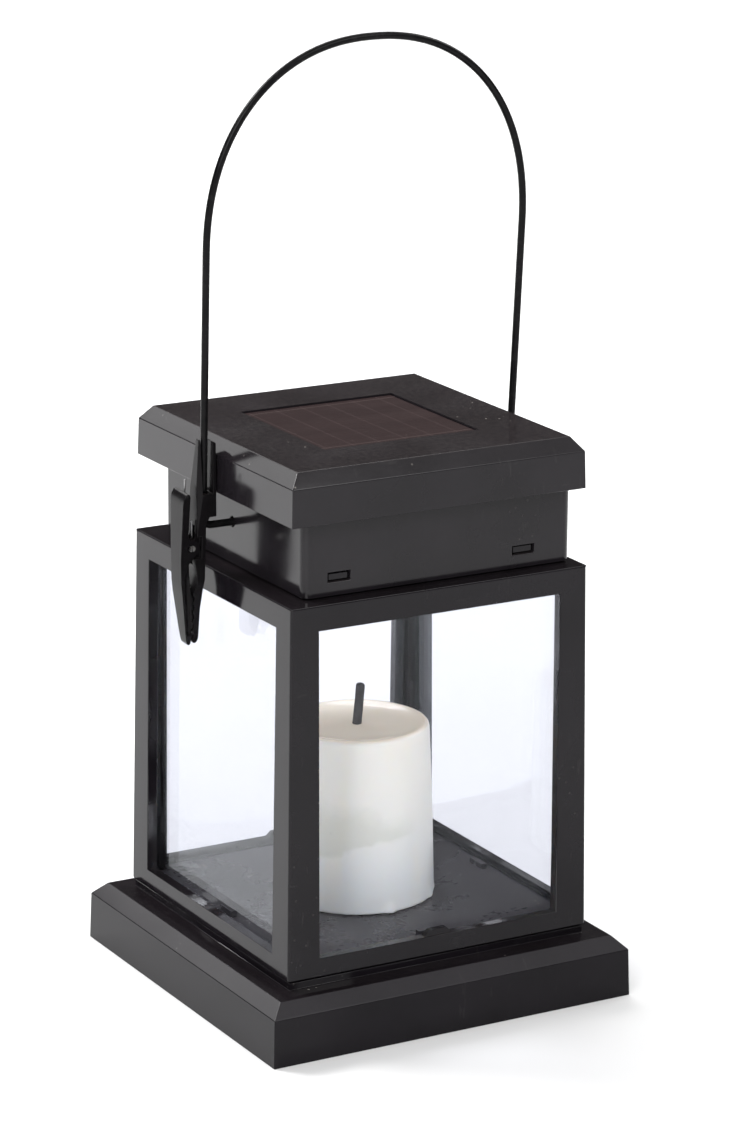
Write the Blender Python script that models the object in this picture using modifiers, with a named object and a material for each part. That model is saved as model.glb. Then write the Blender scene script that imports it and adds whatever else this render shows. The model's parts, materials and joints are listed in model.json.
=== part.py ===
"""Small solar lantern: plinth, glazed body, neck, lid with solar panel, wire bail and clip.

Millimetres in the constants, metres in Blender. +Z up, -Y front, the clip hangs on -X.
The origin is the centre of the plinth's underside.
"""

from math import atan2, ceil, cos, pi, radians, sin, sqrt

import bmesh
import bpy
from mathutils import Matrix, Vector

MM = 0.001
GAP = 0.3

# Plinth
PLINTH_HALF = 44.0
PLINTH_EDGE_HALF = 43.7
PLINTH_TOP_HALF = 40.85
CHAMFER_Z = 10.55
PLINTH_TOP = 13.4
STEP_HALF = 36.2
STEP_TOP = 14.97
FLOOR_HALF = 33.9
FLOOR_Z = 18.1
PLINTH_WALL = 2.0
CEILING_Z = 11.6
HOLLOW_HALF = 28.8
HOLLOW_Z = 16.3

# Body frame
BODY_BOTTOM = STEP_TOP + GAP
BODY_TOP = 96.5
BODY_BOTTOM_HALF = 36.75
BODY_TOP_HALF = 35.75
BODY_WALL = 2.4
DECK = 1.8
COLUMN_INNER = 31.0
WINDOW_HALF = 29.2
WINDOW_LOW = 19.5
WINDOW_HIGH = 91.0
CORNER = 33.3

# Panes
PANE_HALF = 30.6
PANE_THICK = 1.2
PANE_TOP = 93.9

# Candle
CANDLE_TOP = 57.2
CANDLE_TOP_RADIUS = 16.1
CANDLE_BOTTOM_RADIUS = 17.5
CANDLE_WALL = 1.6
WICK_RADIUS = 1.1
WICK_LENGTH = 10.0
WICK_LEAN = 5.0
SEAT_RADIUS = 15.3
CANDLE_SCREW_X = 9.0

# Neck, which stands further in on the clip's side
NECK_LOW = BODY_TOP + GAP
NECK_TOP = 113.1
NECK_LEFT = -30.6
NECK_RIGHT = 34.2
NECK_HALF_Y = 31.7
NECK_WALL = 1.8
NECK_ROUND = 2.0
HOOK_X = 22.3

# Lid and solar panel
LID_LOW = NECK_TOP + GAP
LID_EDGE_Z = 121.5
LID_TOP = 124.5
LID_HALF = 35.35
LID_EDGE_HALF = 35.15
LID_TOP_HALF = 32.75
LID_WALL = 2.0
PANEL_WINDOW_HALF = 18.7
PANEL_HALF = 20.0
PANEL_SKIN = 0.8
PANEL_RECESS = 0.35
BOSS_XY = 23.4
LEAD_XY = 28.2

# Bail
PIVOT_Z = 106.0
BAIL_LEAN = 3.0
WIRE_RADIUS = 0.8
LEG_FOOT_X = 37.6
LEG_TOP_X = 38.2
LEG_TOP_Z = 165.5
ARCH_TOP_Z = 207.9
ARCH_POWER = 2.2
BEND_RADIUS = 2.0

# Clip
CLIP_HALF = 2.4
PIN_X = -41.2
PIN_Z = 102.0
PIN_RADIUS = 0.7
TOOTH_PITCH = 2.1
TOOTH_COUNT = 5
TOOTH_DEPTH = 0.5
BITE_X = -40.2
BITE_SLOPE = 0.05
BITE_LOW_Z = 81.3
JAW_TIP_Z = 80.15
JAW_GAP = 0.34

# Battery compartment, board and switch
CELL_RADIUS = 5.25
CELL_Y = -18.0
CELL_Z = 8.4
CELL_LOW_X = -20.5
CELL_HIGH_X = 23.0
COVER_LOW = 1.2
COVER_TOP = 4.2
DOOR_TOP = 2.7
COVER_HALF = 41.5
COVER_BORE_Z = 2.4
COVER_SCREWS = [(37.0, 0), (0, 37.0), (-37.0, 0), (0, -37.0)]
BOARD_LOW = 9.0
BOARD_TOP = 10.2
BOARD_SCREW = (19.0, 18.5)
SWITCH_XY = (8.0, 14.0)
DOOR_SCREW = (30.5, CELL_Y)

# Screws
SCREW_RADIUS = 1.0
SCREW_HEAD_RADIUS = 2.0
SCREW_HEAD = 0.9
PILOT_RADIUS = SCREW_RADIUS + GAP
BOSS_RADIUS = 2.6

CORNERS = [(-1, -1), (1, -1), (1, 1), (-1, 1)]


def clear_scene():
    for item in list(bpy.data.objects):
        bpy.data.objects.remove(item)


def new_collection(name):
    collection = bpy.data.collections.new(name)
    bpy.context.scene.collection.children.link(collection)
    return collection


def new_material(name, colour, roughness, metallic=0.0, alpha=1.0):
    material = bpy.data.materials.new(name)
    material.use_nodes = True
    shader = material.node_tree.nodes["Principled BSDF"]
    shader.inputs["Base Color"].default_value = (*colour, 1.0)
    shader.inputs["Roughness"].default_value = roughness
    shader.inputs["Metallic"].default_value = metallic
    shader.inputs["Alpha"].default_value = alpha
    return material


def add_object(name, data, material=None):
    """A part when it has a material, otherwise a cutter or an addition for a Boolean."""
    item = bpy.data.objects.new(name, data)
    if material is None:
        tools.objects.link(item)
        item.hide_render = True
        item.display_type = "WIRE"
    else:
        parts.objects.link(item)
        data.materials.append(material)
    return item


def mesh_from(name, shape):
    mesh = bpy.data.meshes.new(name)
    shape.to_mesh(mesh)
    shape.free()
    return mesh


def box(name, low, high, material=None, corner_radius=0.0):
    shape = bmesh.new()
    bmesh.ops.create_cube(shape, size=1.0)
    low, high = Vector(low), Vector(high)
    bmesh.ops.scale(shape, vec=(high - low) * MM, verts=shape.verts)
    bmesh.ops.translate(shape, vec=(high + low) / 2 * MM, verts=shape.verts)
    if corner_radius:
        upright = [edge for edge in shape.edges
                   if abs((edge.verts[0].co - edge.verts[1].co).normalized().z) > 0.9]
        bmesh.ops.bevel(shape, geom=upright, offset=corner_radius * MM, segments=5,
                        affect="EDGES", profile=0.5)
    return add_object(name, mesh_from(name, shape), material)


def cylinder(name, radius, start, end, material=None, sides=16, end_radius=None):
    start, end = Vector(start), Vector(end)
    way = end - start
    turn = Vector((0, 0, 1)).rotation_difference(way).to_matrix().to_4x4()
    place = Matrix.Translation((start + end) / 2 * MM) @ turn
    shape = bmesh.new()
    bmesh.ops.create_cone(shape, cap_ends=True, segments=sides, radius1=radius * MM,
                          radius2=(radius if end_radius is None else end_radius) * MM,
                          depth=way.length * MM, matrix=place)
    item = add_object(name, mesh_from(name, shape), material)
    shade_round(item.data)
    return item


def shade_round(mesh):
    mesh.shade_smooth()
    mesh.set_sharp_from_angle(angle=radians(35))


def turned(name, profile, material=None, steps=48, closed=False):
    """Revolve (radius, height) points about Z; they run down the outer side."""
    mesh = bpy.data.meshes.new(name)
    points = [(radius * MM, 0, height * MM) for radius, height in profile]
    edges = [(i, i + 1) for i in range(len(points) - 1)]
    if closed:
        edges.append((len(points) - 1, 0))
    mesh.from_pydata(points, edges, [])
    item = add_object(name, mesh, material)
    screw = item.modifiers.new("turn", "SCREW")
    screw.axis = "Z"
    screw.angle = 2 * pi
    screw.steps = steps
    screw.render_steps = steps
    screw.use_merge_vertices = True
    screw.merge_threshold = 0.00001
    screw.use_smooth_shade = steps > 4
    return item


def square_turned(name, profile, material=None, closed=False):
    """Like turned, with four flat sides: each point gives a half-width and a height."""
    corner_profile = [(half * sqrt(2), height) for half, height in profile]
    item = turned(name, corner_profile, material, steps=4, closed=closed)
    item.rotation_euler.z = radians(45)
    return item


def wire(name, points, radius, material):
    curve = bpy.data.curves.new(name, "CURVE")
    curve.dimensions = "3D"
    curve.bevel_depth = radius * MM
    curve.bevel_resolution = 2
    curve.use_fill_caps = True
    spline = curve.splines.new("POLY")
    spline.points.add(len(points) - 1)
    for place, point in zip(spline.points, points):
        place.co = (*(Vector(point) * MM), 1.0)
    return add_object(name, curve, material)


def smooth_route(corners, spacing=2.5):
    """Points of a Catmull-Rom curve through the corners of a route."""
    route = [Vector(corner) for corner in corners]
    padded = [2 * route[0] - route[1], *route, 2 * route[-1] - route[-2]]
    points = []
    for i in range(1, len(padded) - 2):
        a, b, c, d = padded[i - 1:i + 3]
        steps = max(2, ceil((c - b).length / spacing))
        for step in range(steps):
            t = step / steps
            points.append(0.5 * (2 * b + (c - a) * t + (2 * a - 5 * b + 4 * c - d) * t ** 2
                                 + (3 * b - a - 3 * c + d) * t ** 3))
    points.append(route[-1])
    return points


def plate(name, outline, half_thickness, material=None):
    """A flat (x, z) outline, thickened along Y to both sides, as a closed mesh."""
    curve = bpy.data.curves.new(name, "CURVE")
    curve.dimensions = "2D"
    curve.fill_mode = "BOTH"
    curve.extrude = half_thickness * MM
    spline = curve.splines.new("POLY")
    spline.points.add(len(outline) - 1)
    for place, (x, z) in zip(spline.points, outline):
        place.co = (x * MM, z * MM, 0, 1)
    spline.use_cyclic_u = True
    flat = add_object(name, curve)
    flat.rotation_euler.x = radians(90)
    bpy.context.view_layer.update()
    mesh = bpy.data.meshes.new_from_object(flat.evaluated_get(bpy.context.evaluated_depsgraph_get()))
    mesh.transform(flat.matrix_world)
    bpy.data.objects.remove(flat)
    shape = bmesh.new()
    shape.from_mesh(mesh)
    bmesh.ops.remove_doubles(shape, verts=shape.verts, dist=0.000001)
    shape.to_mesh(mesh)
    shape.free()
    return add_object(name, mesh, material)


def boolean(item, tool, operation):
    modifier = item.modifiers.new(tool.name, "BOOLEAN")
    modifier.operation = operation
    modifier.solver = "EXACT"
    modifier.object = tool
    if item.parent:
        tool.parent = item.parent
        tool.matrix_parent_inverse = item.matrix_parent_inverse.copy()


def cut(item, *cutters):
    for cutter in cutters:
        boolean(item, cutter, "DIFFERENCE")


def join(item, *additions):
    for addition in additions:
        boolean(item, addition, "UNION")


def empty_at(name, point, lean=0.0):
    empty = bpy.data.objects.new(name, None)
    parts.objects.link(empty)
    empty.location = Vector(point) * MM
    empty.rotation_euler.x = radians(lean)
    return empty


def hang(item, empty, drawn_at):
    """Parent an item, drawn upright in the lantern's own coordinates, to a pivot's empty."""
    item.parent = empty
    item.matrix_parent_inverse = Matrix.Translation(-Vector(drawn_at) * MM)
    return item


def hole(radius, x, y, low, high, sides=12):
    return cylinder("hole", radius, (x, y, low), (x, y, high), sides=sides)


def screw_mesh(length):
    """A slotted pan-head screw, head down; its shank starts at the origin."""
    profile = [(0, length), (SCREW_RADIUS * 0.5, length), (SCREW_RADIUS, length - 1.0),
               (SCREW_RADIUS, 0), (SCREW_HEAD_RADIUS, 0), (SCREW_HEAD_RADIUS, -SCREW_HEAD * 0.6),
               (SCREW_HEAD_RADIUS * 0.8, -SCREW_HEAD), (0, -SCREW_HEAD)]
    draft = turned("screw_draft", profile, steps=12)
    slot = box("slot", (-1.3, -0.25, -2), (1.3, 0.25, -SCREW_HEAD + 0.4))
    cut(draft, slot)
    bpy.context.view_layer.update()
    ready = draft.evaluated_get(bpy.context.evaluated_depsgraph_get())
    mesh = bpy.data.meshes.new_from_object(ready)
    bpy.data.objects.remove(draft)
    bpy.data.objects.remove(slot)
    shade_round(mesh)
    mesh.materials.append(steel)
    return mesh


def add_screws(name, places, shoulder_z, length):
    """Screws that point up, with the underside of the head's rim at shoulder_z."""
    mesh = screw_mesh(length)
    for i, (x, y) in enumerate(places, start=1):
        screw = bpy.data.objects.new(name if len(places) == 1 else f"{name}_{i}", mesh)
        screw.location = Vector((x, y, shoulder_z)) * MM
        parts.objects.link(screw)


def body_half(z):
    share = (z - BODY_BOTTOM) / (BODY_TOP - BODY_BOTTOM)
    return BODY_BOTTOM_HALF + (BODY_TOP_HALF - BODY_BOTTOM_HALF) * share


def build_plinth():
    profile = [(0, FLOOR_Z), (FLOOR_HALF, FLOOR_Z), (FLOOR_HALF, STEP_TOP), (STEP_HALF, STEP_TOP),
               (STEP_HALF, PLINTH_TOP), (PLINTH_TOP_HALF, PLINTH_TOP),
               (PLINTH_EDGE_HALF, CHAMFER_Z), (PLINTH_HALF, 0), (PLINTH_HALF - PLINTH_WALL, 0),
               (PLINTH_EDGE_HALF - PLINTH_WALL, CHAMFER_Z - 0.8),
               (PLINTH_TOP_HALF - 1.0, CEILING_Z), (HOLLOW_HALF, CEILING_Z),
               (HOLLOW_HALF, HOLLOW_Z), (0, HOLLOW_Z)]
    plinth = square_turned("plinth", profile, black)
    board_x, board_y = BOARD_SCREW
    board_places = [(-board_x, board_y), (board_x, board_y)]
    join(plinth, *[hole(BOSS_RADIUS, x, y, COVER_TOP + GAP, CEILING_Z + 0.6)
                   for x, y in COVER_SCREWS],
         *[hole(BOSS_RADIUS, x, y, BOARD_TOP + GAP, HOLLOW_Z + 0.6) for x, y in board_places])
    stop_low, stop_high = FLOOR_Z - 1.0, WINDOW_LOW - 0.2
    stop_out, stop_in = -32.3, -30.9
    join(plinth, box("stop", (-2.6, stop_out, stop_low), (2.6, stop_in, stop_high)),
         box("stop", (-2.6, -stop_in, stop_low), (2.6, -stop_out, stop_high)),
         box("stop", (stop_out, -2.6, stop_low), (stop_in, 2.6, stop_high)),
         box("stop", (-stop_in, -2.6, stop_low), (-stop_out, 2.6, stop_high)))
    notch_in = COLUMN_INNER - GAP
    for sx, sy in CORNERS:
        xs = sorted((sx * notch_in, sx * 35.0))
        ys = sorted((sy * notch_in, sy * 35.0))
        cut(plinth, box("notch", (xs[0], ys[0], STEP_TOP), (xs[1], ys[1], FLOOR_Z + 1),
                        corner_radius=0.6))
        cut(plinth, hole(PILOT_RADIUS + 0.2, sx * CORNER, sy * CORNER, CEILING_Z - 1, STEP_TOP + 1))
    cut(plinth, hole(3.3, 0, 0, HOLLOW_Z - 1, FLOOR_Z + 1),
        *[hole(PILOT_RADIUS, x, 0, HOLLOW_Z - 1, FLOOR_Z + 1)
          for x in (-CANDLE_SCREW_X, CANDLE_SCREW_X)],
        *[hole(PILOT_RADIUS, x, y, COVER_TOP - 1, 10.0) for x, y in COVER_SCREWS],
        *[hole(PILOT_RADIUS, x, y, BOARD_TOP - 1, 15.6) for x, y in board_places])
    add_screws("cover_screw", COVER_SCREWS, COVER_BORE_Z - GAP, 6.8)
    add_screws("board_screw", board_places, BOARD_LOW - GAP, 6.0)
    frame_places = [(sx * CORNER, sy * CORNER) for sx, sy in CORNERS if (sx, sy) != (1, 1)]
    add_screws("frame_screw", frame_places, CEILING_Z - GAP, 11.0)


def build_bottom_cover():
    cover = box("bottom_cover", (-COVER_HALF, -COVER_HALF, COVER_LOW),
                (COVER_HALF, COVER_HALF, COVER_TOP), black, corner_radius=0.8)
    door_x, door_y = DOOR_SCREW
    join(cover, box("tray", (-27.6, CELL_Y - 7.6, 3.5), (26.6, CELL_Y + 7.6, 10.4)),
         hole(BOSS_RADIUS, door_x, door_y, 3.5, 9.0))
    side = CELL_RADIUS + 0.95
    cut(cover, box("cell_bay", (-26.2, CELL_Y - side, 0), (25.2, CELL_Y + side, 12)),
        box("door_pocket", (-28.8, CELL_Y - 8.8, 0), (33.3, CELL_Y + 8.8, DOOR_TOP + GAP)),
        hole(PILOT_RADIUS, door_x, door_y, 1, 8))
    for x, y in COVER_SCREWS:
        cut(cover, hole(PILOT_RADIUS, x, y, 0, 5),
            hole(SCREW_HEAD_RADIUS + 0.4, x, y, 0, COVER_BORE_Z))
    knob_x, knob_y = SWITCH_XY
    cut(cover, box("switch_slot", (knob_x - 2.9, knob_y - 1.4, 0),
                   (knob_x + 4.1, knob_y + 1.4, 5)))
    door = box("battery_door", (-28.5, CELL_Y - 8.5, COVER_LOW), (33.0, CELL_Y + 8.5, DOOR_TOP),
               black, corner_radius=1.2)
    cut(door, hole(PILOT_RADIUS + 0.2, door_x, door_y, 0, 4),
        hole(SCREW_HEAD_RADIUS + 0.4, door_x, door_y, 0, 2.1))
    add_screws("battery_door_screw", [DOOR_SCREW], 1.8, 5.6)


def build_power():
    cell = turned("battery_cell",
                  [(0, CELL_HIGH_X + 1.0), (1.9, CELL_HIGH_X + 1.0), (1.9, CELL_HIGH_X),
                   (CELL_RADIUS - 0.5, CELL_HIGH_X), (CELL_RADIUS, CELL_HIGH_X - 0.5),
                   (CELL_RADIUS, CELL_LOW_X + 0.4), (CELL_RADIUS - 0.4, CELL_LOW_X),
                   (0, CELL_LOW_X)], cell_wrap, steps=20)
    cell.rotation_euler.y = radians(90)
    cell.location = (0, CELL_Y * MM, CELL_Z * MM)
    box("battery_contact_plate", (CELL_HIGH_X + 1.3, CELL_Y - 4, CELL_Z - 4),
        (CELL_HIGH_X + 1.7, CELL_Y + 4, CELL_Z + 4.2), nickel)
    coil = []
    turns, steps = 3, 10
    low_x, high_x = -25.6, CELL_LOW_X - 0.6
    for i in range(turns * steps + 1):
        share = i / (turns * steps)
        reach = 3.7 - 1.2 * share
        angle = 2 * pi * i / steps
        coil.append((low_x + (high_x - low_x) * share, CELL_Y + reach * cos(angle),
                     CELL_Z + reach * sin(angle)))
    wire("battery_contact_spring", coil, 0.3, nickel)

    board = box("circuit_board", (-22, -9.6, BOARD_LOW), (22, 22, BOARD_TOP), board_green)
    board_x, board_y = BOARD_SCREW
    cut(board, *[hole(PILOT_RADIUS, x, board_y, 8, 12) for x in (-board_x, board_x)])
    cylinder("control_chip", 3.2, (-10, 11, BOARD_TOP + GAP), (-10, 11, BOARD_TOP + 1.5), black,
             end_radius=2.2)
    inductor = turned("inductor", [(0, 14.6), (1.9, 14.6), (1.9, 13.8), (1.3, 13.4), (1.3, 11.7),
                                   (1.9, 11.3), (1.9, BOARD_TOP + GAP), (0, BOARD_TOP + GAP)],
                      ferrite, steps=12)
    inductor.location = (-15 * MM, 0, 0)

    led = turned("led", [(0, 20.6), (1.0, 20.38), (1.85, 19.75), (2.35, 18.9), (2.5, 18.0),
                         (2.5, 13.0), (2.9, 13.0), (2.9, 12.0), (0, 12.0)], lamp, steps=16)
    join(led, *[box("leg", (x - 0.25, -0.25, BOARD_TOP + GAP), (x + 0.25, 0.25, 12.4))
                for x in (-1.27, 1.27)])

    knob_x, knob_y = SWITCH_XY
    body = box("switch_body", (knob_x - 4.3, knob_y - 2.2, 5.0),
               (knob_x + 4.9, knob_y + 2.2, BOARD_LOW - GAP), nickel)
    cut(body, box("slide", (knob_x - 2.9, knob_y - 1.4, 4), (knob_x + 4.1, knob_y + 1.4, 6.6)))
    box("switch_knob", (knob_x - 1.4, knob_y - 1.0, 0.6), (knob_x + 0.6, knob_y + 1.0, 6.2), black)

    wire("battery_lead_negative",
         smooth_route([(-23.6, -9.8, 12.6), (-24.6, -6, 12.4), (-25, -1, 11.2), (-22.9, 2, 9.6)], 1.5),
         0.5, lead_black)
    wire("battery_lead_positive",
         smooth_route([(24.6, -9.8, 12.6), (25.4, -6, 12.4), (25, -1, 11.2), (22.9, 2, 9.6)], 1.5),
         0.5, lead_red)


def build_body_frame():
    frame = square_turned("body_frame", [(0, BODY_TOP), (BODY_TOP_HALF, BODY_TOP),
                                         (BODY_BOTTOM_HALF, BODY_BOTTOM), (0, BODY_BOTTOM)], black)
    inner_top = BODY_TOP - DECK
    below = BODY_BOTTOM - 5
    cabin = square_turned("cabin", [(0, inner_top), (body_half(inner_top) - BODY_WALL, inner_top),
                                    (body_half(below) - BODY_WALL, below), (0, below)])
    for sx, sy in CORNERS:
        xs = sorted((sx * COLUMN_INNER, sx * 50))
        ys = sorted((sy * COLUMN_INNER, sy * 50))
        cut(cabin, box("column", (xs[0], ys[0], 0), (xs[1], ys[1], BODY_TOP + 5),
                       corner_radius=0.6))
    cut(frame, cabin)
    for side in (-1, 1):
        for x in (-HOOK_X, HOOK_X):
            ys = sorted((side * (NECK_HALF_Y - NECK_WALL - 0.4), side * (NECK_HALF_Y - 3.4)))
            nose = sorted((side * (NECK_HALF_Y - 0.6), side * (NECK_HALF_Y - 3.0)))
            hook = box("hook", (x - 2.2, ys[0], BODY_TOP - 1), (x + 2.2, ys[1], 102.0))
            join(frame, hook, box("nose", (x - 2.2, nose[0], 100.2), (x + 2.2, nose[1], 101.4)))
    cut(frame, box("window", (-WINDOW_HALF, -50, WINDOW_LOW), (WINDOW_HALF, 50, WINDOW_HIGH)),
        box("window", (-50, -WINDOW_HALF, WINDOW_LOW), (50, WINDOW_HALF, WINDOW_HIGH)))
    for side in (-1, 1):
        tab = plate("tab", [(-4.0, WINDOW_LOW - 0.5), (4.0, WINDOW_LOW - 0.5),
                            (2.0, WINDOW_LOW + 1.25), (-2.0, WINDOW_LOW + 1.25)], 0.7)
        tab.location.y = side * (body_half(WINDOW_LOW) - 1.3) * MM
        join(frame, tab)
    for sx, sy in CORNERS:
        if (sx, sy) == (1, 1):
            cut(frame, hole(1.5, CORNER, CORNER, 14, 89),
                cylinder("lead_way", 1.5, (26.0, 26.0, 100.2), (CORNER, CORNER, 88.0), sides=12))
        else:
            cut(frame, hole(PILOT_RADIUS, sx * CORNER, sy * CORNER, 14, 24.5))


def build_panes():
    low_z = FLOOR_Z + GAP
    outer = body_half(low_z) - BODY_WALL - GAP
    lean = atan2(BODY_BOTTOM_HALF - BODY_TOP_HALF, BODY_TOP - BODY_BOTTOM)
    for turn, name in enumerate(["pane_front", "pane_right", "pane_back", "pane_left"]):
        pane = box(name, (-PANE_HALF, 0, 0), (PANE_HALF, PANE_THICK, PANE_TOP - low_z), glass)
        pane.matrix_world = (Matrix.Rotation(turn * pi / 2, 4, "Z")
                             @ Matrix.Translation(Vector((0, -outer, low_z)) * MM)
                             @ Matrix.Rotation(-lean, 4, "X"))


def build_candle():
    low = FLOOR_Z + GAP
    shell = turned("candle_shell",
                   [(0, CANDLE_TOP - 1.3), (13.2, CANDLE_TOP - 1.1), (14.6, CANDLE_TOP - 0.3),
                    (15.2, CANDLE_TOP), (15.8, CANDLE_TOP - 0.2),
                    (CANDLE_TOP_RADIUS, CANDLE_TOP - 0.8), (CANDLE_BOTTOM_RADIUS, low),
                    (CANDLE_BOTTOM_RADIUS - CANDLE_WALL, low),
                    (CANDLE_TOP_RADIUS - CANDLE_WALL, CANDLE_TOP - 3.4), (0, CANDLE_TOP - 3.4)],
                   wax, steps=36)
    cut(shell, hole(WICK_RADIUS + 0.4, 0, 0, CANDLE_TOP - 2.5, CANDLE_TOP + 1))
    lean = radians(WICK_LEAN)
    foot = Vector((0, 0, CANDLE_TOP - 2.1))
    cylinder("wick", WICK_RADIUS, foot,
             foot + WICK_LENGTH * Vector((sin(lean), 0, cos(lean))), wick_dark, sides=16)
    seat = turned("candle_seat", [(3.3, low + 3.0), (SEAT_RADIUS - 0.6, low + 3.0),
                                  (SEAT_RADIUS, low + 2.4), (SEAT_RADIUS, low), (3.3, low)],
                  white_plastic, steps=30, closed=True)
    screw_places = [(-CANDLE_SCREW_X, 0), (CANDLE_SCREW_X, 0)]
    cut(seat, *[hole(PILOT_RADIUS, x, y, low - 1, low + 5) for x, y in screw_places])
    add_screws("candle_screw", screw_places, HOLLOW_Z - GAP, 4.6)


def build_neck():
    neck = box("neck", (NECK_LEFT, -NECK_HALF_Y, NECK_LOW), (NECK_RIGHT, NECK_HALF_Y, NECK_TOP),
               black, corner_radius=NECK_ROUND)
    cut(neck, box("hollow", (NECK_LEFT + NECK_WALL, -NECK_HALF_Y + NECK_WALL, NECK_LOW - 2),
                  (NECK_RIGHT - NECK_WALL, NECK_HALF_Y - NECK_WALL, NECK_TOP - NECK_WALL)))
    join(neck, cylinder("boss", 3.0, (NECK_LEFT + 1.0, 0, PIVOT_Z), (-25.5, 0, PIVOT_Z)),
         cylinder("boss", 3.0, (28.5, 0, PIVOT_Z), (NECK_RIGHT - 1.0, 0, PIVOT_Z)))
    cut(neck, cylinder("pivot_hole", WIRE_RADIUS + GAP, (-50, 0, PIVOT_Z), (50, 0, PIVOT_Z)))
    for x in (-HOOK_X, HOOK_X):
        cut(neck, box("snap_slot", (x - 2.7, -50, 99.8), (x + 2.7, 50, 101.8)))
    cut(neck, hole(1.5, LEAD_XY, LEAD_XY, NECK_TOP - 4, NECK_TOP + 1),
        *[hole(PILOT_RADIUS, sx * BOSS_XY, sy * BOSS_XY, NECK_TOP - 4, NECK_TOP + 1)
          for sx, sy in CORNERS])


def build_lid():
    skin_low = LID_TOP - LID_WALL + 0.2
    pocket_z = LID_TOP - PANEL_SKIN
    lid = square_turned("lid", [(PANEL_WINDOW_HALF, LID_TOP), (LID_TOP_HALF, LID_TOP),
                                (LID_EDGE_HALF, LID_EDGE_Z), (LID_HALF, LID_LOW),
                                (LID_HALF - LID_WALL, LID_LOW),
                                (LID_EDGE_HALF - LID_WALL, LID_EDGE_Z - 0.7),
                                (LID_TOP_HALF - 1.2, skin_low), (PANEL_HALF + 0.4, skin_low),
                                (PANEL_HALF + 0.4, pocket_z), (PANEL_WINDOW_HALF, pocket_z)],
                        black, closed=True)
    join(lid, *[hole(BOSS_RADIUS, sx * BOSS_XY, sy * BOSS_XY, LID_LOW + 2.1, skin_low + 0.8)
                for sx, sy in CORNERS])
    cut(lid, *[hole(PILOT_RADIUS, sx * BOSS_XY, sy * BOSS_XY, LID_LOW, 121.0)
               for sx, sy in CORNERS])
    base_half = LID_HALF - LID_WALL - 0.4
    base = box("lid_base", (-base_half, -base_half, LID_LOW),
               (base_half, base_half, LID_LOW + 1.8), black)
    cut(base, hole(1.9, LEAD_XY, LEAD_XY, LID_LOW - 1, LID_LOW + 3),
        *[hole(PILOT_RADIUS, sx * BOSS_XY, sy * BOSS_XY, LID_LOW - 1, LID_LOW + 3)
          for sx, sy in CORNERS])
    add_screws("lid_screw", [(sx * BOSS_XY, sy * BOSS_XY) for sx, sy in CORNERS],
               NECK_TOP - NECK_WALL - GAP, 8.8)
    top = pocket_z - GAP
    layers = [("solar_cover", 0.8, PANEL_HALF, clear_resin), ("solar_cell", 0.3, 18.9, silicon),
              ("solar_board", 1.2, PANEL_HALF, board_green)]
    raised = PANEL_WINDOW_HALF - GAP
    pad = box("pad", (-raised, -raised, top - 0.4), (raised, raised, LID_TOP - PANEL_RECESS))
    for name, thickness, half, material in layers:
        layer = box(name, (-half, -half, top - thickness), (half, half, top), material)
        if name == "solar_cover":
            join(layer, pad)
        top -= thickness + GAP
    wire("solar_lead",
         smooth_route([(17, 10, top - 0.8), (23.5, 15, top - 1.7), (27.4, 21, 118.3),
                       (LEAD_XY, 26.6, 117.3), (LEAD_XY, LEAD_XY, 115), (LEAD_XY, LEAD_XY, 111),
                       (28.0, 28.0, 103),
                       (28.0, 28.0, 98.5), (30.5, 30.5, 93.2), (32.9, 32.9, 88.2),
                       (CORNER, CORNER, 84), (CORNER, CORNER, 60), (CORNER, CORNER, 36),
                       (CORNER, CORNER, 17), (CORNER, CORNER, 12), (32.4, 31.5, 8.2),
                       (27.5, 24, 6.6), (24.5, 17, 7.6), (23.2, 13.5, 9.6)], 5.0),
         0.8, lead_black)


def bail_route():
    """The left half of the bail from its stub up to the crown, mirrored for the right."""
    foot_z = PIVOT_Z + BEND_RADIUS
    half = [(-27.0, 0, PIVOT_Z)]
    for i in range(7):
        angle = pi / 2 * i / 6
        half.append((-LEG_FOOT_X + BEND_RADIUS * (1 - sin(angle)), 0,
                     foot_z - BEND_RADIUS * cos(angle)))
    for i in range(1, 7):
        share = i / 6
        half.append((-LEG_FOOT_X - (LEG_TOP_X - LEG_FOOT_X) * share, 0,
                     foot_z + (LEG_TOP_Z - foot_z) * share))
    arch_steps = 18
    for i in range(1, arch_steps + 1):
        angle = pi / 2 * i / arch_steps
        half.append((-LEG_TOP_X * cos(angle) ** (2 / ARCH_POWER), 0,
                     LEG_TOP_Z + (ARCH_TOP_Z - LEG_TOP_Z) * sin(angle) ** (2 / ARCH_POWER)))
    half[-1] = (0, 0, ARCH_TOP_Z)
    return half + [(-x, y, z) for x, y, z in reversed(half[:-1])]


def lobe(radius, start_degrees, end_degrees, steps=8):
    """Points of an arc around the clip's pin."""
    angles = [radians(start_degrees + (end_degrees - start_degrees) * i / steps)
              for i in range(steps + 1)]
    return [(PIN_X + radius * cos(a), PIN_Z + radius * sin(a)) for a in angles]


def teeth(offset):
    """The zigzag of the bite from the top down, offset along X, at alternate depths."""
    rows = []
    for i in range(TOOTH_COUNT * 2 + 1):
        depth = TOOTH_DEPTH / 2 if i % 2 else -TOOTH_DEPTH / 2
        rise = i * TOOTH_PITCH / 2
        rows.append((BITE_X + offset + depth - BITE_SLOPE * rise, BITE_LOW_Z + rise))
    return rows[::-1]


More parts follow.
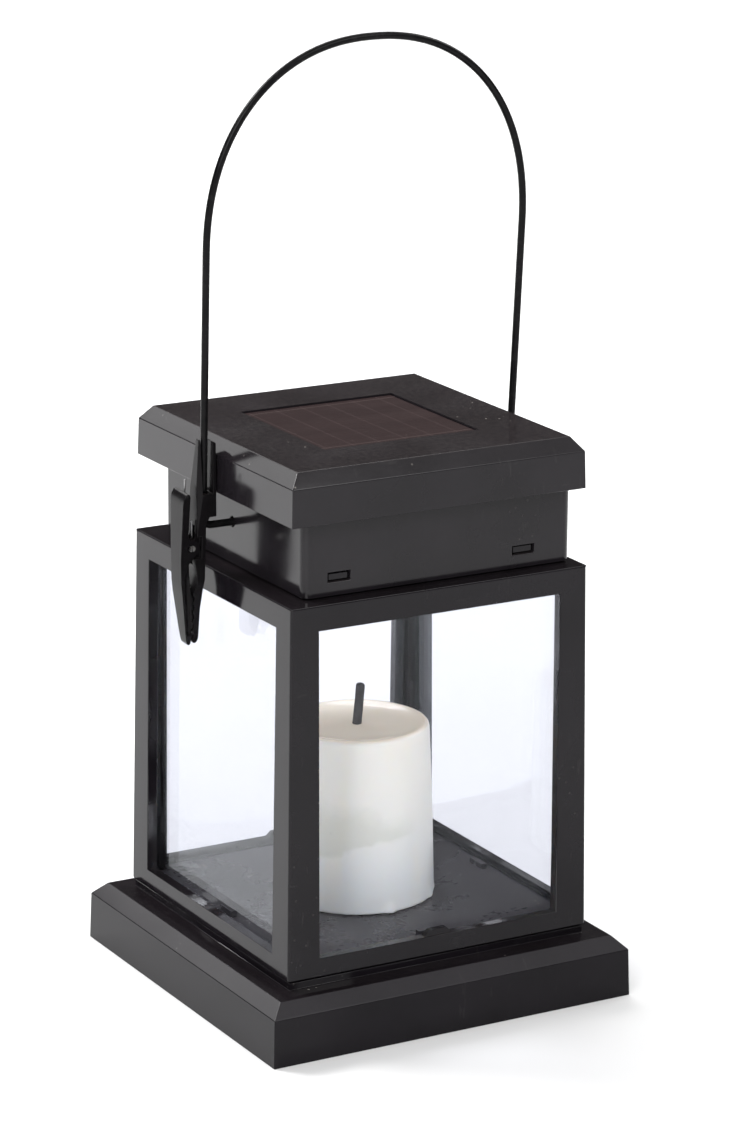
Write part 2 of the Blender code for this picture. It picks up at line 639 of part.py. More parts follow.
def build_bail_and_clip():
    pivot_at = (0, 0, PIVOT_Z)
    pin_at = (PIN_X, 0, PIN_Z)
    bail_pivot = empty_at("bail_pivot", pivot_at, BAIL_LEAN)
    hang(wire("bail", bail_route(), WIRE_RADIUS, black_wire), bail_pivot, pivot_at)
    clip_pivot = hang(empty_at("clip_pivot", pin_at), bail_pivot, pivot_at)

    eye_low, eye_top = 108.5, 113.6
    outline = [(-38.85, 81.7), (-38.9, 88), (-38.5, 92.3), (-38.0, 94.8), (-38.0, eye_low - 1.5),
               (-37.2, eye_low), (-35.65, eye_low), (-35.65, 124.4), (-36.5, 124.8),
               (-36.5, eye_top), (-38.95, eye_top), (-38.95, 125.2), (-39.35, 125.2),
               (-40.05, 115.5), (-40.1, 105.0)]
    outline += lobe(1.9, 60, 290)
    outline += [(-40.4, 98.4), (-39.9, 96), (-40.0, 93.4)]
    outline += teeth(JAW_GAP / 2)
    outline += [(-40.2, 80.75), (-39.95, 80.45), (-39.45, 80.5), (-39.05, 80.9)]
    body = hang(plate("clip_body", outline, CLIP_HALF, clip_black), bail_pivot, pivot_at)
    taper_tips(body)
    foot, crown = (-LEG_FOOT_X, 0, 100), (-LEG_FOOT_X - 0.2, 0, 120)
    cut(body, cylinder("eye", WIRE_RADIUS + GAP + 0.05, foot, crown),
        box("wire_groove", (-38.75, -1.15, 75), (-34, 1.15, eye_low)),
        box("spring_bay", (-45, -0.9, 98.0), (-39.5, 0.9, 106.6)),
        box("ear_side", (-45, 1.5, 99.6), (-38.95, 4, 104.4)),
        box("ear_side", (-45, -4, 99.6), (-38.95, -1.5, 104.4)),
        cylinder("pin_hole", PIN_RADIUS + 0.15, (PIN_X, -5, PIN_Z), (PIN_X, 5, PIN_Z)))

    outer = [(-40.6, 80.6), (-40.85, JAW_TIP_Z + 0.05), (-41.2, JAW_TIP_Z), (-41.5, 80.45),
             (-41.7, 81.1), (-42.0, 82.8), (-42.65, 87.3), (-43.3, 91.8), (-43.65, 94.5),
             (-43.85, 100), (-43.9, 111.8), (-43.75, 113.2), (-43.2, 114.2),
             (-42.6, 114.4), (-42.15, 113.8), (-42.1, 105.2)]
    outer += lobe(1.9, 100, -60)
    outer += [(-41.9, 98.6), (-41.75, 96), (-41.45, 93.2)]
    outer += teeth(-JAW_GAP / 2)
    lever = hang(plate("clip_lever", outer, CLIP_HALF, clip_black), clip_pivot, pin_at)
    taper_tips(lever)
    for side in (-1, 1):
        cut(lever, cylinder("flute", 0.7, (-42.3, side * 2.75, 95.5), (-41.0, side * 1.9, 82.5)))
    cut(lever, box("ear_gap", (-43.35, -1.8, 98.8), (-38, 1.8, 105.4)),
        cylinder("pin_hole", PIN_RADIUS + 0.15, (PIN_X, -5, PIN_Z), (PIN_X, 5, PIN_Z)))
    hang(cylinder("clip_pin", PIN_RADIUS, (PIN_X, -CLIP_HALF, PIN_Z), (PIN_X, CLIP_HALF, PIN_Z),
                  steel), bail_pivot, pivot_at)
    hang(wire("clip_spring", spring_route(), 0.2, spring_steel), bail_pivot, pivot_at)


def taper_tips(item):
    """Narrow the clip towards its jaw and its upper points, and widen the thumb pad."""
    for vertex in item.data.vertices:
        x, z = vertex.co.x / MM, vertex.co.z / MM
        if z < 92:
            vertex.co.y *= 0.58 + 0.42 * (z - JAW_TIP_Z) / (92 - JAW_TIP_Z)
        elif x < -41.9 and z > 111:
            vertex.co.y *= 1.25
        elif z > 120:
            vertex.co.y *= 0.25 if x < -38 else 0.55
        elif z > 113.7:
            vertex.co.y *= 0.62


def spring_route():
    """A torsion spring around the pin, with one arm on each half of the clip."""
    reach = 1.15
    points = [(-40.55, -0.5, 107.6), (-40.45, -0.5, 104.0)]
    turns, steps = 2.1, 10
    start = atan2(1.0, 0.6)
    for i in range(int(turns * steps) + 1):
        angle = start - 2 * pi * i / steps
        y = -0.5 + 1.0 * i / (turns * steps)
        points.append((PIN_X + reach * cos(angle), y, PIN_Z + reach * sin(angle)))
    points += [(-41.8, 0.55, 105.0), (-41.75, 0.55, 110.0), (-41.8, 0.55, 116.6)]
    return points


clear_scene()
parts = new_collection("solar_lantern")
tools = new_collection("cutters")

black = new_material("black_plastic", (0.018, 0.017, 0.018), 0.22)
clip_black = new_material("clip_plastic", (0.014, 0.014, 0.015), 0.3)
black_wire = new_material("painted_wire", (0.012, 0.012, 0.013), 0.25)
glass = new_material("clear_pane", (0.9, 0.95, 1.0), 0.05, alpha=0.3)
wax = new_material("wax_plastic", (0.86, 0.82, 0.74), 0.35)
white_plastic = new_material("white_plastic", (0.8, 0.8, 0.78), 0.4)
wick_dark = new_material("wick", (0.05, 0.055, 0.055), 0.6)
silicon = new_material("solar_silicon", (0.05, 0.025, 0.02), 0.35)
clear_resin = new_material("solar_resin", (0.8, 0.7, 0.65), 0.15, alpha=0.35)
board_green = new_material("circuit_board", (0.03, 0.2, 0.07), 0.5)
ferrite = new_material("ferrite", (0.06, 0.06, 0.06), 0.6)
lamp = new_material("led_resin", (0.95, 0.85, 0.55), 0.1)
cell_wrap = new_material("battery_wrap", (0.05, 0.25, 0.12), 0.35)
steel = new_material("screw_steel", (0.5, 0.5, 0.5), 0.35, metallic=1.0)
spring_steel = new_material("spring_steel", (0.25, 0.25, 0.26), 0.35, metallic=1.0)
nickel = new_material("nickel_contact", (0.6, 0.6, 0.58), 0.3, metallic=1.0)
lead_black = new_material("lead_black", (0.02, 0.02, 0.02), 0.5)
lead_red = new_material("lead_red", (0.5, 0.03, 0.02), 0.5)

build_plinth()
build_bottom_cover()
build_power()
build_body_frame()
build_panes()
build_candle()
build_neck()
build_lid()
build_bail_and_clip()
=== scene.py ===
"""Looks for the solar lantern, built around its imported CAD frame. Metres; +Z up, -Y front."""

import json
from math import atan2, cos, pi, radians, sin, sqrt

import bmesh
import bpy
from mathutils import Matrix, Vector


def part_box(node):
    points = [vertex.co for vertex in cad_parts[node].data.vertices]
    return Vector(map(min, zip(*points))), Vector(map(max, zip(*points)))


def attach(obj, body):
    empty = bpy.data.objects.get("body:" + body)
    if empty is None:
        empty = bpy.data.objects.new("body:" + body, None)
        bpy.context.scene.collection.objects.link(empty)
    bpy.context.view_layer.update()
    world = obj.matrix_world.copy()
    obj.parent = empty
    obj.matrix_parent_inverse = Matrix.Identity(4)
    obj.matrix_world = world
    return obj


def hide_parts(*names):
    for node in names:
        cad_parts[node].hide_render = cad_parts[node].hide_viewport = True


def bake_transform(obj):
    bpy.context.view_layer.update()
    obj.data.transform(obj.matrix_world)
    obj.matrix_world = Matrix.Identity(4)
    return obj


MM = 0.001
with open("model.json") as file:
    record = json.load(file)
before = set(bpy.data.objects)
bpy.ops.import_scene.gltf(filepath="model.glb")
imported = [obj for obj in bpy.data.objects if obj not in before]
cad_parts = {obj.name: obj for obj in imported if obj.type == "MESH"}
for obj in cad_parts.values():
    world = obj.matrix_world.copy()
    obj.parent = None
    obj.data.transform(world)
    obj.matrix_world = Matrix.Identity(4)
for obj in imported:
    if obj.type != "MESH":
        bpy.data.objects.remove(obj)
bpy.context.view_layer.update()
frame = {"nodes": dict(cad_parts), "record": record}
nodes = frame["nodes"]
body_of_node = {node: body for body, members in frame["record"]["behaviour"]["bodies"].items()
                for node in members}
slot_of_node = {part["node"]: part["material_slot"] for part in frame["record"]["subparts"]}


# ---------------------------------------------------------------- materials

# A Mix node holds the sockets of every data type: these are the ones for colours.
MIX_SHARE, MIX_A, MIX_B, MIX_RESULT = 0, 6, 7, 2


class Look:
    """A procedural material under construction. Scales are in features per metre."""

    def __init__(self, name, **sockets):
        """Sockets are plain values of the shader's, with _ for the spaces in their names."""
        self.material = bpy.data.materials.new(name)
        self.material.use_nodes = True
        self.tree = self.material.node_tree
        self.shader = self.tree.nodes["Principled BSDF"]
        self.output = self.tree.nodes["Material Output"]
        self.coordinates = self.node("ShaderNodeTexCoord").outputs["Object"]
        for socket, value in sockets.items():
            self.set(socket.replace("_", " "), value)

    def node(self, kind, **settings):
        made = self.tree.nodes.new(kind)
        for key, value in settings.items():
            setattr(made, key, value)
        return made

    def feed(self, socket, value):
        """Link a socket to another, or give it a number or a colour."""
        if isinstance(value, bpy.types.NodeSocket):
            self.tree.links.new(value, socket)
        elif socket.type == "RGBA" and len(value) == 3:
            socket.default_value = (*value, 1.0)
        else:
            socket.default_value = value

    def set(self, name, value):
        self.feed(self.shader.inputs[name], value)

    def stretched(self, stretch):
        mapping = self.node("ShaderNodeMapping")
        self.feed(mapping.inputs["Vector"], self.coordinates)
        mapping.inputs["Scale"].default_value = stretch
        return mapping.outputs["Vector"]

    def noise(self, scale, detail=2.0, roughness=0.5, distortion=0.0, stretch=None):
        made = self.node("ShaderNodeTexNoise")
        self.feed(made.inputs["Vector"], self.stretched(stretch) if stretch else self.coordinates)
        for name, given in (("Scale", scale), ("Detail", detail), ("Roughness", roughness),
                            ("Distortion", distortion)):
            made.inputs[name].default_value = given
        return made.outputs["Fac"]

    def cells(self, scale, feature="F1"):
        made = self.node("ShaderNodeTexVoronoi", feature=feature)
        self.feed(made.inputs["Vector"], self.coordinates)
        made.inputs["Scale"].default_value = scale
        return made.outputs["Distance"]

    def axis(self, index, source=None):
        made = self.node("ShaderNodeSeparateXYZ")
        self.feed(made.inputs[0], source or self.coordinates)
        return made.outputs[index]

    def facing_up(self):
        return self.axis(2, self.node("ShaderNodeNewGeometry").outputs["Normal"])

    def ramp(self, value, low, high, start=0.0, end=1.0):
        """Start at low and before it, end from high on, straight between. Low may be the larger."""
        made = self.node("ShaderNodeMapRange")
        for name, given in zip(("Value", "From Min", "From Max", "To Min", "To Max"),
                               (value, low, high, start, end)):
            self.feed(made.inputs[name], given)
        return made.outputs["Result"]

    def math(self, operation, a, b=0.0):
        made = self.node("ShaderNodeMath", operation=operation)
        self.feed(made.inputs[0], a)
        self.feed(made.inputs[1], b)
        return made.outputs[0]

    def times(self, a, b):
        return self.math("MULTIPLY", a, b)

    def plus(self, a, b):
        return self.math("ADD", a, b)

    def mix(self, share, a, b):
        made = self.node("ShaderNodeMix", data_type="RGBA")
        self.feed(made.inputs[MIX_SHARE], share)
        self.feed(made.inputs[MIX_A], a)
        self.feed(made.inputs[MIX_B], b)
        return made.outputs[MIX_RESULT]

    def mix_shaders(self, share, a, b):
        made = self.node("ShaderNodeMixShader")
        for socket, given in zip(made.inputs, (share, a, b)):
            self.feed(socket, given)
        return made.outputs[0]

    def bump(self, *layers):
        """Layers are (height, depth in metres), each laid over the one before."""
        normal = None
        for height, depth in layers:
            made = self.node("ShaderNodeBump")
            made.inputs["Strength"].default_value = 1.0
            made.inputs["Distance"].default_value = depth
            self.feed(made.inputs["Height"], height)
            if normal is not None:
                self.feed(made.inputs["Normal"], normal)
            normal = made.outputs["Normal"]
        self.set("Normal", normal)


def specks(look, scale, size, cover):
    """Sparse dots: the cores of Voronoi cells, kept only where a coarse noise is high."""
    dots = look.ramp(look.cells(scale), size, size * 0.6)
    return look.times(dots, look.ramp(look.noise(scale * 0.11, 1), cover, cover + 0.06))


def scratches(look, scale, amount):
    """Two sets of fine short streaks that cross."""
    first = look.ramp(look.noise(scale, 2, stretch=(1, 0.16, 0.22)), 0.66, 0.72)
    second = look.ramp(look.noise(scale, 2, stretch=(0.2, 1, 0.8)), 0.68, 0.74)
    patchy = look.ramp(look.noise(45, 2), 0.48, 0.66, 0.0, amount)
    return look.times(look.math("MAXIMUM", first, second), patchy)


# What lies on the black plastic, where its surface is worn, and the lighter grey painted on its
# sloping faces as a sheen.
DUST, SLOPE_SHEEN, BLOOM = (0.17, 0.135, 0.12), (0.17, 0.165, 0.175), (0.115, 0.11, 0.12)
SCRATCH, MOTE = (0.2, 0.19, 0.18), (0.4, 0.37, 0.34)


def moulded_black(name, tint, gloss, dull, peel, dust=0.05, shine=0.28, bloom_above=None):
    """Glossy injection-moulded plastic: orange peel, smudges, settled dust, fine scratches.

    Gloss and dull are the roughness of clean and smudged places, peel the depth of the orange
    peel in millimetres, and dust the average share of it on flat tops. Given bloom_above, there
    is a hazy bloom above that height in millimetres, and a painted sheen on all sloping faces.
    """
    look = Look(name, Specular_IOR_Level=shine)
    up = look.facing_up()
    lighter = tuple(channel * 1.4 for channel in tint)
    colour = look.mix(look.ramp(look.noise(70, 3), 0.35, 0.65), tint, lighter)
    rough = look.ramp(look.noise(38, 4, 0.6, 0.8), 0.3, 0.75, gloss, dull)
    grainy = look.times(look.ramp(up, 0.55, 0.97, 0.0, dust),
                        look.ramp(look.noise(900, 3), 0.3, 0.7, 0.5, 1.5))
    colour = look.mix(grainy, colour, DUST)
    rough = look.plus(rough, look.times(grainy, 0.9))
    if bloom_above:
        bloom = look.ramp(look.axis(2), bloom_above * MM, (bloom_above + 0.2) * MM)
        cloudy = look.ramp(look.noise(45, 3), 0.3, 0.7, 0.14, 0.36)
        colour = look.mix(look.times(bloom, cloudy), colour, BLOOM)
        # Painted highlight: sloping faces such as chamfers get a lighter grey, so they look lit by
        # more light than the flats.
        painted_slope_sheen = look.times(look.ramp(up, 0.5, 0.66), look.ramp(up, 0.92, 0.78, 0.0, 0.1))
        colour = look.mix(painted_slope_sheen, colour, SLOPE_SHEEN)
        rough = look.plus(rough, look.times(bloom, 0.16))
    marks = scratches(look, 800, 0.035)
    colour = look.mix(marks, colour, SCRATCH)
    motes = look.times(specks(look, 420, 0.12, 0.6), look.ramp(up, 0.0, 0.9, 0.04, 0.45))
    look.set("Base Color", look.mix(motes, colour, MOTE))
    look.set("Roughness", look.plus(rough, look.times(marks, 1.2)))
    look.bump((look.noise(190, 2), peel * MM), (look.noise(1500, 2), 0.0016 * MM),
              (marks, -0.004 * MM))
    return look.material


def textured_black():
    """Spark-eroded matt plastic of the underside."""
    look = Look("textured_black")
    grain = look.noise(1300, 3, 0.6)
    colour = look.mix(look.ramp(look.noise(55, 3), 0.35, 0.65), (0.016, 0.016, 0.017),
                      (0.03, 0.029, 0.029))
    dust = (0.22, 0.2, 0.18)
    look.set("Base Color", look.mix(specks(look, 300, 0.16, 0.58), colour, dust))
    look.set("Roughness", look.ramp(grain, 0.3, 0.7, 0.42, 0.62))
    look.bump((grain, 0.035 * MM), (look.noise(420, 2), 0.02 * MM))
    return look.material


def painted_wire():
    """Black paint with slow runs along it, and a few chips down to the steel."""
    look = Look("painted_wire", Specular_IOR_Level=0.08)
    runs = look.noise(420, 2, 0.5, 0.2)
    chips = look.ramp(look.noise(260, 4, 0.7), 0.72, 0.75)
    paint = look.mix(look.ramp(runs, 0.3, 0.7), (0.004, 0.004, 0.0044), (0.008, 0.0075, 0.008))
    steel = (0.12, 0.11, 0.1)
    look.set("Base Color", look.mix(chips, paint, steel))
    look.set("Roughness", look.ramp(runs, 0.3, 0.7, 0.16, 0.3))
    look.bump((runs, 0.03 * MM), (look.noise(2300, 1), 0.003 * MM))
    return look.material


PLASTIC_IOR = 1.5
MIRROR_TINT = (0.94, 0.97, 1.0)


def clear_sheet(name, tint, haze, dust, mirrored):
    """A thin clear sheet: what is behind shows straight through, its faces mirror by Fresnel.

    Haze is how much its film hides where it is thickest, dust how much its specks hide, and
    mirrored how bright its mirror is.
    """
    look = Look(name)
    film = look.plus(look.ramp(look.noise(60, 4, 0.6, 0.6), 0.4, 0.75, haze * 0.4, haze),
                     look.times(specks(look, 520, 0.07, 0.62), dust))
    flow = look.ramp(look.noise(210, 3, 0.6, stretch=(1, 1, 0.06)), 0.5, 0.72, 0.0, haze * 0.8)
    film = look.plus(film, flow)
    look.set("Base Color", look.mix(look.ramp(look.noise(500, 2), 0.35, 0.65),
                                    (0.6, 0.63, 0.66), (0.85, 0.86, 0.87)))
    look.bump((look.noise(900, 2), 0.01 * MM))
    through = look.node("ShaderNodeBsdfTransparent")
    look.feed(through.inputs["Color"], tint)
    mirror = look.node("ShaderNodeBsdfGlossy")
    look.feed(mirror.inputs["Color"], tuple(mirrored * share for share in MIRROR_TINT))
    look.feed(mirror.inputs["Roughness"], look.ramp(look.noise(80, 3), 0.35, 0.7, 0.01, 0.05))
    ripple = look.node("ShaderNodeBump")
    ripple.inputs["Distance"].default_value = 0.012 * MM
    look.feed(ripple.inputs["Height"], look.noise(55, 2))
    look.feed(mirror.inputs["Normal"], ripple.outputs["Normal"])
    fresnel = look.node("ShaderNodeFresnel")
    inside = look.node("ShaderNodeNewGeometry").outputs["Backfacing"]
    look.feed(fresnel.inputs["IOR"], look.ramp(inside, 0.0, 1.0, PLASTIC_IOR, 1 / PLASTIC_IOR))
    clear = look.mix_shaders(fresnel.outputs[0], through.outputs[0], mirror.outputs[0])
    sheet = look.mix_shaders(film, clear, look.shader.outputs[0])
    look.feed(look.output.inputs["Surface"], sheet)
    return look.material


def candle_wax():
    """Imitation wax: warm above and cool below, drips, a grey-green band of painted shade, a few
    pits, and a faint painted glow that is strongest on the top.
    """
    look = Look("candle_wax")
    height = look.axis(2)
    warm, cool, cloudy = (0.97, 0.925, 0.835), (0.82, 0.85, 0.84), (0.88, 0.865, 0.8)
    yellowed, shade_grey_green, dirt = (0.94, 0.88, 0.75), (0.63, 0.65, 0.56), (0.42, 0.37, 0.31)
    side = look.mix(look.ramp(height, 47 * MM, 24 * MM), warm, cool)
    cloud = look.ramp(look.noise(95, 3, 0.55), 0.35, 0.7)
    side = look.mix(look.times(cloud, 0.4), side, cloudy)
    drip = look.ramp(look.noise(120, 3, 0.6, 0.3, stretch=(1, 1, 0.22)), 0.56, 0.72, 0.0, 0.5)
    side = look.mix(drip, side, yellowed)

    # The painted shade is a slanting wedge, a grey-green band where shade falls across the wall. It
    # narrows along this level direction, to the front right.
    along_x, along_y = 0.868, -0.496
    along = look.plus(look.times(look.axis(0), along_x), look.times(look.axis(1), along_y))
    ragged = look.plus(height, look.ramp(look.noise(110, 4, 0.6), 0.3, 0.7, -2 * MM, 2 * MM))
    from_lower_edge = look.math("SUBTRACT", ragged, look.times(along, 0.16))
    from_upper_edge = look.plus(ragged, look.times(along, 0.14))
    painted_shade_band = look.times(look.ramp(from_lower_edge, 31.9 * MM, 33.2 * MM),
                        look.ramp(from_upper_edge, 42.5 * MM, 37.5 * MM))
    painted_shade_band = look.times(painted_shade_band, look.ramp(along, 13.5 * MM, 9 * MM, 0.0, 0.5))
    side = look.mix(painted_shade_band, side, shade_grey_green)

    top = look.ramp(look.facing_up(), 0.6, 0.95)
    colour = look.mix(top, side, (1.0, 0.91, 0.775))
    pits = specks(look, 260, 0.1, 0.6)
    look.set("Base Color", look.mix(look.times(pits, 0.5), colour, dirt))
    look.set("Roughness", look.math("SUBTRACT",
                                    look.ramp(look.noise(160, 3), 0.3, 0.7, 0.34, 0.42),
                                    look.times(top, 0.27)))
    look.set("Subsurface Weight", 0.3)
    look.set("Subsurface Radius", (1.0, 0.75, 0.55))
    look.set("Subsurface Scale", 2.4 * MM)
    # Painted light: the wax glows faintly on its wall and more on its top, standing in for light
    # that the lid keeps off the candle.
    look.set("Emission Color", (1.0, 0.78, 0.58))
    look.set("Emission Strength", look.ramp(top, 0.0, 1.0, 0.02, 0.15))
    look.bump((look.noise(60, 3), 0.1 * MM), (look.noise(700, 2), 0.01 * MM), (pits, -0.08 * MM))
    return look.material


def charred_wick():
    """A dark plait."""
    look = Look("charred_wick", Roughness=0.75)
    plait = look.noise(900, 3, 0.6, stretch=(1, 1, 0.35))
    look.set("Base Color", look.mix(look.ramp(plait, 0.3, 0.7), (0.03, 0.03, 0.034),
                                    (0.085, 0.083, 0.088)))
    look.bump((plait, 0.12 * MM), (look.noise(2600, 2), 0.03 * MM))
    return look.material


def solar_film(name, roughness):
    """Amorphous silicon film, bare or under its resin: laser-scribed strips, two thin bus lines."""
    strip_width, bus_place = 3.15 * MM, 16.4 * MM
    wave_shift = 1.0  # metres along X, which sets where the first line falls
    look = Look(name)
    strip = look.math("PINGPONG", look.plus(look.axis(0), wave_shift), strip_width)
    scribe = look.ramp(strip, 0.12 * MM, 0.05 * MM)
    off_bus = look.math("SUBTRACT", look.math("ABSOLUTE", look.axis(1)), bus_place)
    bus = look.ramp(look.math("ABSOLUTE", off_bus), 0.22 * MM, 0.14 * MM)
    streaks = look.noise(70, 3, stretch=(0.3, 2.2, 1))
    colour = look.mix(look.ramp(streaks, 0.3, 0.7), (0.026, 0.0166, 0.0168),
                      (0.033, 0.0215, 0.0215))
    colour = look.mix(look.times(scribe, 0.4), colour, (0.1, 0.07, 0.07))
    colour = look.mix(look.times(bus, 0.35), colour, (0.12, 0.09, 0.085))
    motes = look.times(specks(look, 520, 0.1, 0.56), 0.5)
    look.set("Base Color", look.mix(motes, colour, (0.4, 0.35, 0.32)))
    look.set("Roughness", look.ramp(look.noise(300, 3), 0.3, 0.7,
                                    roughness * 0.9, roughness * 1.1))
    look.bump((scribe, -0.004 * MM), (look.noise(1400, 2), 0.0008 * MM))
    return look.material


def circuit_green():
    """Solder mask over a net of copper tracks."""
    look = Look("circuit_green")
    tracks = look.ramp(look.cells(170, "DISTANCE_TO_EDGE"), 0.03, 0.07)
    grain = look.noise(600, 3)
    base = look.mix(look.ramp(grain, 0.35, 0.65), (0.012, 0.105, 0.035), (0.03, 0.17, 0.06))
    look.set("Base Color", look.mix(tracks, (0.07, 0.26, 0.09), base))
    look.set("Roughness", look.ramp(grain, 0.3, 0.7, 0.3, 0.5))
    look.bump((tracks, -0.03 * MM), (grain, 0.01 * MM))
    return look.material


def metal(name, light, dark, roughness):
    """Stained metal with a fine lay."""
    look = Look(name, Metallic=1.0)
    lay = look.noise(2600, 2, stretch=(1, 1, 0.04))
    stain = look.noise(260, 4, 0.6)
    colour = look.mix(look.ramp(stain, 0.35, 0.7), light, dark)
    look.set("Base Color", look.mix(look.ramp(lay, 0.3, 0.8, 0.0, 0.25), colour, dark))
    look.set("Roughness", look.ramp(lay, 0.3, 0.7, roughness * 0.75, roughness * 1.35))
    look.bump((lay, 0.006 * MM))
    return look.material


def plain_moulded(name, light, dark, roughness, grain_scale=900):
    """Small moulded, wrapped or potted pieces: cloudy colour, soft grain, a few specks."""
    look = Look(name)
    colour = look.mix(look.ramp(look.noise(130, 3), 0.3, 0.7), light, dark)
    look.set("Base Color", look.mix(look.times(specks(look, 420, 0.14, 0.58), 0.4),
                                    colour, dark))
    grain = look.noise(grain_scale, 3)
    look.set("Roughness", look.ramp(grain, 0.3, 0.7, roughness * 0.8, roughness * 1.25))
    look.bump((grain, 0.012 * MM))
    return look.material


def led_lens():
    """The warm white light's cloudy yellow resin."""
    look = Look("led_lens")
    swirl = look.noise(700, 2, 0.5, 0.4)
    look.set("Base Color", look.mix(look.ramp(swirl, 0.3, 0.7), (0.93, 0.82, 0.5),
                                    (0.98, 0.9, 0.66)))
    look.set("Subsurface Weight", 0.4)
    look.set("Subsurface Scale", 1.5 * MM)
    look.set("Roughness", look.ramp(swirl, 0.3, 0.7, 0.08, 0.18))
    look.bump((swirl, 0.01 * MM))
    return look.material


def studio_floor_paper():
    """Matt white paper, a little uneven in tone."""
    look = Look("floor_paper", Roughness=0.6)
    tone = look.noise(3, 3)
    look.set("Base Color", look.mix(look.ramp(tone, 0.3, 0.7), (0.70, 0.70, 0.704),
                                    (0.715, 0.715, 0.715)))
    look.bump((look.noise(700, 2), 0.01 * MM))
    return look.material


LOOKS = {
    "black_plastic": moulded_black("glossy_black", (0.008, 0.0068, 0.0083), 0.08, 0.17, 0.005),
    "clip_plastic": moulded_black("clip_black", (0.0045, 0.004, 0.0045), 0.16, 0.28, 0.006,
                                  dust=0.03, shine=0.1),
    "painted_wire": painted_wire(),
    "clear_pane": clear_sheet("clear_pane", (0.89, 0.894, 0.917), 0.004, 0.3, 0.7),
    "wax_plastic": candle_wax(),
    "white_plastic": plain_moulded("white_plastic", (0.82, 0.82, 0.8), (0.7, 0.7, 0.68), 0.4),
    "wick": charred_wick(),
    "solar_silicon": solar_film("solar_film", 0.38),
    "solar_resin": solar_film("potted_panel", 0.13),
    "circuit_board": circuit_green(),
    "ferrite": plain_moulded("ferrite", (0.07, 0.07, 0.072), (0.035, 0.035, 0.036), 0.65, 1600),
    "led_resin": led_lens(),
    "battery_wrap": plain_moulded("battery_wrap", (0.05, 0.26, 0.13), (0.03, 0.19, 0.09), 0.3),
    "screw_steel": metal("screw_steel", (0.62, 0.62, 0.6), (0.4, 0.39, 0.37), 0.32),
    "spring_steel": metal("spring_steel", (0.34, 0.34, 0.35), (0.2, 0.19, 0.19), 0.35),
    "nickel_contact": metal("nickel_contact", (0.7, 0.69, 0.65), (0.5, 0.48, 0.44), 0.28),
    "lead_black": plain_moulded("lead_black", (0.024, 0.024, 0.025), (0.012, 0.012, 0.012),
                                0.45),
    "lead_red": plain_moulded("lead_red", (0.5, 0.03, 0.02), (0.36, 0.018, 0.014), 0.45),
}
INNER_FLOOR = 17.6  # millimetres up, the plinth's floor inside the panes
FRAME_TINT = (0.0052, 0.0043, 0.0056)
FRONT_PANE = clear_sheet("front_pane", (0.962, 0.967, 0.985), 0.004, 0.3, 0.25)
UNDERSIDE = textured_black()
DEEP = moulded_black("deep_black", FRAME_TINT, 0.07, 0.14, 0.004, dust=0.018, shine=0.15,
                     bloom_above=INNER_FLOOR)
FRAME = moulded_black("frame_black", FRAME_TINT, 0.06, 0.13, 0.004, dust=0.02, shine=0.22)


# ---------------------------------------------------------------- geometry

def link(item):
    """Put an object in the scene."""
    bpy.context.scene.collection.objects.link(item)
    return item


def dress(item, node, material=None):
    """Put a new piece in the scene in place of its CAD node, not yet on a body."""
    if not item.users_collection:
        link(item)
    item.data.materials.clear()
    item.data.materials.append(material or LOOKS[slot_of_node[node]])
    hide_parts(node)
    return item


def show(item, node, material=None):
    """Put a new piece in place of its CAD node and on that node's body."""
    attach(dress(item, node, material), body_of_node[node])


def mesh_from(shape, name):
    """A mesh of a finished bmesh."""
    mesh = bpy.data.meshes.new(name)
    shape.to_mesh(mesh)
    shape.free()
    return mesh


def evaluated_mesh(item):
    """A new mesh of an object as its modifiers or its curve settings make it."""
    bpy.context.view_layer.update()
    shown = item.evaluated_get(bpy.context.evaluated_depsgraph_get())
    return bpy.data.meshes.new_from_object(shown)


WELD = 0.002 * MM  # vertices this close are one
SAME_FLAT = radians(0.6)  # faces that bend less than this are one flat
ROUNDED = radians(30)  # edges that bend more than this are rounded
SMOOTH = radians(32)  # edges that bend less than this are shaded smooth


def refined(node, width, material=None, least=0.0, segments=3, share_of=lambda edge: 1.0):
    """A copy of a CAD solid with its flats merged, its edges rounded and its shading weighted.

    Width is that of the rounding and least the shortest edge that gets it, in millimetres, and
    share_of gives the part of the width that an edge gets.
    """
    shape = bmesh.new()
    shape.from_mesh(nodes[node].data)
    bmesh.ops.remove_doubles(shape, verts=shape.verts, dist=WELD)
    bmesh.ops.dissolve_limit(shape, angle_limit=SAME_FLAT, use_dissolve_boundaries=False,
                             verts=shape.verts, edges=shape.edges, delimit=set())
    weights = shape.edges.layers.float.new("bevel_weight_edge")
    for face in shape.faces:
        face.smooth = True
    for edge in shape.edges:
        if len(edge.link_faces) != 2:
            continue
        bend = edge.calc_face_angle(0.0)
        rounded = bend > ROUNDED and edge.calc_length() >= least * MM
        share = share_of(edge) if rounded else 0.0
        edge[weights] = share
        edge.smooth = share > 0 or bend < SMOOTH
    item = link(bpy.data.objects.new("fine_" + node, mesh_from(shape, "fine_" + node)))
    bevel = item.modifiers.new("round", "BEVEL")
    bevel.width = width * MM
    bevel.segments = segments
    bevel.limit_method = "WEIGHT"
    bevel.use_clamp_overlap = False
    normals = item.modifiers.new("weigh", "WEIGHTED_NORMAL")
    normals.keep_sharp = True
    show(item, node, material)


